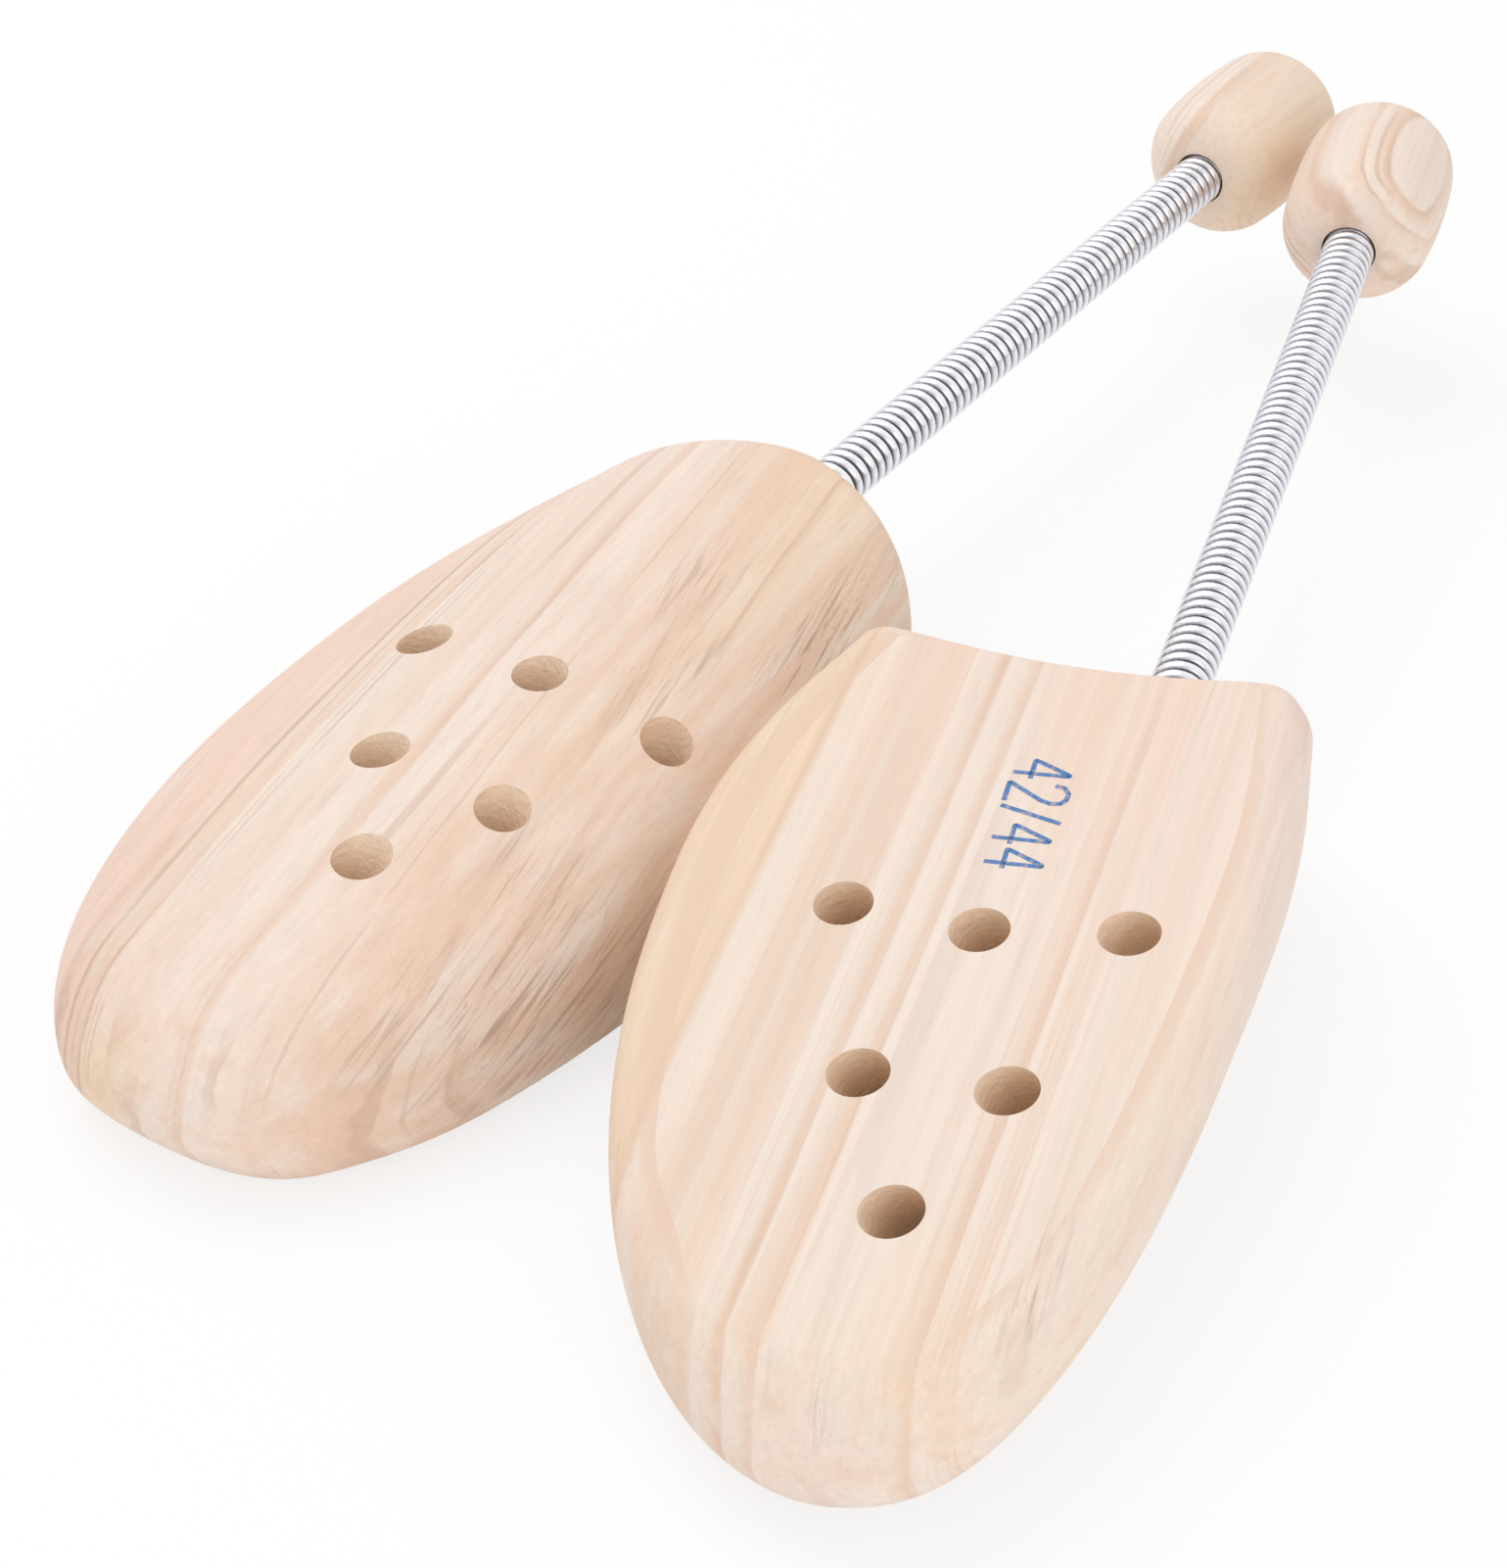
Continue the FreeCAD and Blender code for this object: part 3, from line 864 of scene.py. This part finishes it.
def stroke_curve(mark):
    """Flat curve with one spline for each stroke of the digits, centred on the origin."""
    curve = bpy.data.curves.new("size_mark", "CURVE")
    curve.dimensions = "2D"
    width = sum(DIGIT_ADVANCE[digit] for digit in mark.digits)
    cursor = -width / 2
    for digit in mark.digits:
        for stroke in STROKES[digit]:
            spline = curve.splines.new("POLY")
            spline.points.add(len(stroke) - 1)
            for point, (x, y) in zip(spline.points, stroke):
                point.co = ((cursor + x) * mark.height, (y - 0.5) * mark.height, 0.0, 1.0)
        cursor += DIGIT_ADVANCE[digit]
    return curve


def ink_group(material):
    """Thin film of ink along the strokes, with rounded corners."""
    group, given, result = new_group(
        "Inked strokes",
        "GeometryNodeTree",
        [
            ("Strokes", "NodeSocketGeometry", None),
            ("Stroke width", "NodeSocketFloat", 0.0008),
            ("Film", "NodeSocketFloat", 0.00006),
        ],
        [("Geometry", "NodeSocketGeometry")],
    )
    corner = maths(group, "MULTIPLY", given["Stroke width"], CORNER_SHARE)
    rounded = add_node(
        group,
        "GeometryNodeFilletCurve",
        {"Curve": given["Strokes"], "Radius": corner, "Count": CORNER_STEPS},
        mode="POLY",
    )
    level = add_node(
        group, "GeometryNodeSetCurveNormal", {"Curve": rounded.outputs[0]}, mode="Z_UP"
    )
    nib = add_node(
        group,
        "GeometryNodeCurvePrimitiveQuadrilateral",
        {"Width": given["Stroke width"], "Height": given["Film"]},
    )
    film = add_node(
        group,
        "GeometryNodeCurveToMesh",
        {"Curve": level.outputs[0], "Profile Curve": nib.outputs[0], "Fill Caps": True},
    )
    real = add_node(group, "GeometryNodeRealizeInstances", {"Geometry": film.outputs[0]})
    sources = {"Geometry": real.outputs[0], "Material": material}
    dressed = add_node(group, "GeometryNodeSetMaterial", sources)
    feed(group, result["Geometry"], dressed.outputs[0])
    return group


def ink_material(mark, wood):
    """Stamping ink that lets the wood through in patches."""
    material, tree, shader = new_material("stamping_ink")
    place = add_node(tree, "ShaderNodeTexCoord").outputs["Object"]
    patch = remap(tree, noise(tree, place, PATCH_GRAIN, PATCH_DETAIL), *PATCH_SPAN)
    feed(tree, shader.inputs["Base Color"], tinted(tree, rgba(mark.ink), wood.tan, patch))
    shader.inputs["Roughness"].default_value = INK_ROUGHNESS
    shader.inputs["Specular IOR Level"].default_value = INK_SHEEN
    return material


# Stage: lamps as (place, size), the floor's reach and depth, and its own glow where it is seen
KEY_LAMP = ((-0.35, 0.25, 0.9), 0.9)
FILL_LAMP = ((0.4, -0.9, 0.35), 0.7)
FLOOR_REACH = 3.0
FLOOR_DROP = -0.0002
FLOOR_ROUGHNESS = 0.9
FLOOR_GLOW = 0.76
SENSOR_WIDTH = 36.0
WHITE = (1.0, 1.0, 1.0, 1.0)


# Operators

class SHOETREE_OT_blocks(Operator):
    """Gives the forefoot blocks their wood"""

    bl_idname = "shoe_tree.blocks"
    bl_label = "Finish the forefoot blocks"

    def execute(self, context):
        wood = context.scene.shoe_tree_wood
        group = bpy.data.node_groups.get("Pine") or pine_group(wood)
        for tree in TREES:
            paint(tree + "_forefoot", block_material(tree, group, wood))
        return {"FINISHED"}


class SHOETREE_OT_knobs(Operator):
    """Gives the heel knobs and the pegs their wood"""

    bl_idname = "shoe_tree.knobs"
    bl_label = "Finish the heel knobs and pegs"

    def execute(self, context):
        wood = context.scene.shoe_tree_wood
        group = bpy.data.node_groups.get("Pine") or pine_group(wood)
        for tree in TREES:
            paint(tree + "_knob", knob_material(tree, group, wood))
            pegs = peg_material(tree, group, wood)
            paint(tree + "_front_peg", pegs)
            paint(tree + "_heel_peg", pegs)
        return {"FINISHED"}


class SHOETREE_OT_springs(Operator):
    """Winds the springs from wire, turn against turn"""

    bl_idname = "shoe_tree.springs"
    bl_label = "Wind the springs"

    def execute(self, context):
        spring = context.scene.shoe_tree_spring
        group = coil_group(steel_material(spring))
        for tree in TREES:
            wind_spring(tree, group, spring)
        return {"FINISHED"}


class SHOETREE_OT_size_mark(Operator):
    """Stamps the size numbers on the sole of the upturned tree"""

    bl_idname = "shoe_tree.size_mark"
    bl_label = "Stamp the size mark"

    def execute(self, context):
        mark = context.scene.shoe_tree_mark
        wood = context.scene.shoe_tree_wood
        group = ink_group(ink_material(mark, wood))
        values = {"Stroke width": mark.stroke, "Film": mark.film}
        piece = grown("size_mark", group, values, stroke_curve(mark))
        place, toe, side, normal = block_axes("upturned")
        turn = math.radians(MARK_TURN)
        reading = toe * math.cos(turn) + side * math.sin(turn)
        tops = normal.cross(reading)
        centre = place + toe * MARK_ALONG + side * MARK_ASIDE + normal * mark.film * MARK_LIFT
        axes = Matrix((reading, tops, normal)).transposed().to_4x4()
        piece.data.transform(Matrix.Translation(centre) @ axes)
        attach(piece, "upturned_block")
        return {"FINISHED"}


class SHOETREE_OT_stage(Operator):
    """Lays the floor and sets the lamps, the world and the camera"""

    bl_idname = "shoe_tree.stage"
    bl_label = "Set the stage"

    def execute(self, context):
        stage = context.scene.shoe_tree_stage
        lay_floor(stage)
        set_world(context.scene, stage)
        set_lamp("key_lamp", *KEY_LAMP, stage.key)
        set_lamp("fill_lamp", *FILL_LAMP, stage.fill)
        set_camera(context.scene, stage)
        context.scene.view_settings.view_transform = "Standard"
        return {"FINISHED"}


def seen_directly(tree):
    """One for rays that show the background itself, in the view, in gloss or through glass."""
    path = add_node(tree, "ShaderNodeLightPath").outputs
    seen = maths(tree, "MAXIMUM", path["Is Camera Ray"], path["Is Glossy Ray"])
    return maths(tree, "MAXIMUM", seen, path["Is Transmission Ray"])


def lay_floor(stage):
    """Pale floor that shows as white and keeps the shadows."""
    mesh = bpy.data.meshes.new("floor")
    signs = ((-1, -1), (1, -1), (1, 1), (-1, 1))
    corners = [(x * FLOOR_REACH, y * FLOOR_REACH, FLOOR_DROP) for x, y in signs]
    mesh.from_pydata(corners, [], [(0, 1, 2, 3)])
    floor = bpy.data.objects.new("floor", mesh)
    bpy.context.scene.collection.objects.link(floor)
    material, tree, shader = new_material("pale_floor")
    shader.inputs["Base Color"].default_value = rgba(stage.floor)
    shader.inputs["Roughness"].default_value = FLOOR_ROUGHNESS
    shader.inputs["Specular IOR Level"].default_value = 0.0
    glow = add_node(tree, "ShaderNodeEmission", {"Color": WHITE, "Strength": 1.0})
    part = maths(tree, "MULTIPLY", seen_directly(tree), FLOOR_GLOW)
    shaders = {0: part, 1: shader.outputs[0], 2: glow.outputs[0]}
    mixed = add_node(tree, "ShaderNodeMixShader", shaders)
    feed(tree, tree.nodes["Material Output"].inputs["Surface"], mixed.outputs[0])
    mesh.materials.append(material)


def set_world(scene, stage):
    """Even light from all round, shown as white."""
    world = bpy.data.worlds.new("studio")
    world.use_nodes = True
    tree = world.node_tree
    shine = tree.nodes["Background"]
    shine.inputs["Color"].default_value = WHITE
    strength = maths(tree, "MULTIPLY_ADD", seen_directly(tree), 1.0 - stage.sky, stage.sky)
    feed(tree, shine.inputs["Strength"], strength)
    scene.world = world


def set_lamp(name, place, size, power):
    """Large square lamp aimed at the middle of the object."""
    lamp = bpy.data.lights.new(name, "AREA")
    lamp.shape = "SQUARE"
    lamp.size = size
    lamp.energy = power
    holder = bpy.data.objects.new(name, lamp)
    holder.location = place
    holder.rotation_euler = (-Vector(place)).to_track_quat("-Z", "Y").to_euler()
    bpy.context.scene.collection.objects.link(holder)


def set_camera(scene, stage):
    """Camera that looks along +Y and down at the aimed point."""
    lens = bpy.data.cameras.new("camera")
    lens.lens = stage.lens
    lens.sensor_width = SENSOR_WIDTH
    holder = bpy.data.objects.new("camera", lens)
    back = Vector((0, -math.cos(stage.pitch), math.sin(stage.pitch)))
    holder.location = Vector(stage.aim) + back * stage.distance
    holder.rotation_euler = Euler((math.pi / 2 - stage.pitch, 0, 0))
    scene.collection.objects.link(holder)
    scene.camera = holder


class SHOETREE_PT_panel(Panel):
    """Lists the steps that dress the shoe trees"""

    bl_label = "Shoe trees"
    bl_idname = "SHOETREE_PT_panel"
    bl_space_type = "VIEW_3D"
    bl_region_type = "UI"
    bl_category = "Shoe trees"

    def draw(self, context):
        for operator in OPERATORS:
            self.layout.operator(operator.bl_idname)


SETTINGS = {
    "shoe_tree_wood": ShoeTreeWoodSettings,
    "shoe_tree_spring": ShoeTreeSpringSettings,
    "shoe_tree_mark": ShoeTreeMarkSettings,
    "shoe_tree_stage": ShoeTreeStageSettings,
}
OPERATORS = (
    SHOETREE_OT_blocks,
    SHOETREE_OT_knobs,
    SHOETREE_OT_springs,
    SHOETREE_OT_size_mark,
    SHOETREE_OT_stage,
)


def register():
    for name, group in SETTINGS.items():
        bpy.utils.register_class(group)
        setattr(bpy.types.Scene, name, PointerProperty(type=group))
    for operator in OPERATORS:
        bpy.utils.register_class(operator)
    bpy.utils.register_class(SHOETREE_PT_panel)


def unregister():
    bpy.utils.unregister_class(SHOETREE_PT_panel)
    for operator in reversed(OPERATORS):
        bpy.utils.unregister_class(operator)
    for name, group in SETTINGS.items():
        delattr(bpy.types.Scene, name)
        bpy.utils.unregister_class(group)


def main():
    register()
    bpy.ops.shoe_tree.blocks()
    bpy.ops.shoe_tree.knobs()
    bpy.ops.shoe_tree.springs()
    bpy.ops.shoe_tree.size_mark()
    bpy.ops.shoe_tree.stage()


if __name__ == "__main__":
    main()
